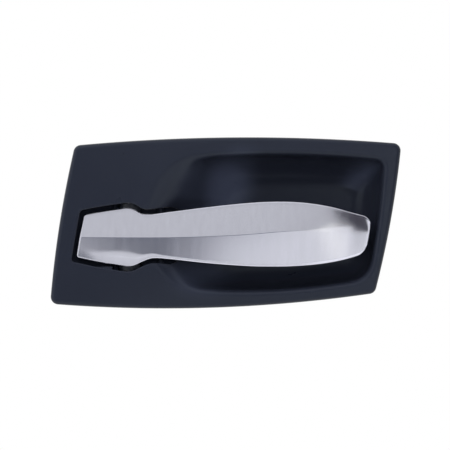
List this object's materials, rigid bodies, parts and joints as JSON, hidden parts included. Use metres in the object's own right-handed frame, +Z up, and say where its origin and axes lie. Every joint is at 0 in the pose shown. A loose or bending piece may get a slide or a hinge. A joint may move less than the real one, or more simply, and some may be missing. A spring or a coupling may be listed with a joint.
{
  "type": "car interior door handle",
  "caption": "Inside door handle of a car: dark dished trim plate with a finger pocket, and a satin-chromed pull lever turning on an upright hinge pin.",
  "frame": {"origin": "centre of the four fixing bosses, on the plane of their ends", "axes": "+X along the handle towards the lever's tip, +Y into the door, +Z up; the front looks towards -Y"},
  "size_m": [0.1542, 0.0389, 0.0754],
  "materials": {
    "plate_plastic": "satin, very dark blue",
    "carrier_plastic": "moulded black",
    "satin_chrome": "satin chrome plating",
    "core_plastic": "glass-filled black",
    "pin_steel": "ground",
    "acetal": "natural white",
    "spring_steel": "bright wire and strip",
    "stop_rubber": "matt black",
    "screw_steel": "zinc plated",
    "pad_foam": "closed-cell foam"
  },
  "bodies": {
    "housing": {"trim_plate": "plate_plastic", "rear_carrier": "carrier_plastic", "hinge_pin": "pin_steel", "pin_clip": "spring_steel", "return_spring": "spring_steel", "rest_bumper": "stop_rubber", "open_bumper": "stop_rubber", "plate_screws": "screw_steel", "panel_clip_1": "spring_steel", "panel_clip_2": "spring_steel", "panel_clip_3": "spring_steel", "panel_clip_4": "spring_steel", "foam_pad_left": "pad_foam", "foam_pad_right": "pad_foam"},
    "lever": {"lever_cover": "satin_chrome", "lever_core": "core_plastic", "cover_screws": "screw_steel", "hinge_bush_upper": "acetal", "hinge_bush_lower": "acetal"}
  },
  "joints": [
    {"name": "lever_pull", "type": "hinge", "parent": "housing", "child": "lever", "pos_m": [-0.0422, -0.0208, -0.0069], "axis": [0, 0, -1], "range_deg": [0, 38], "stiffness_Nm_per_rad": 0.6, "springref_deg": -57.3, "deforming": ["return_spring"]}
  ]
}
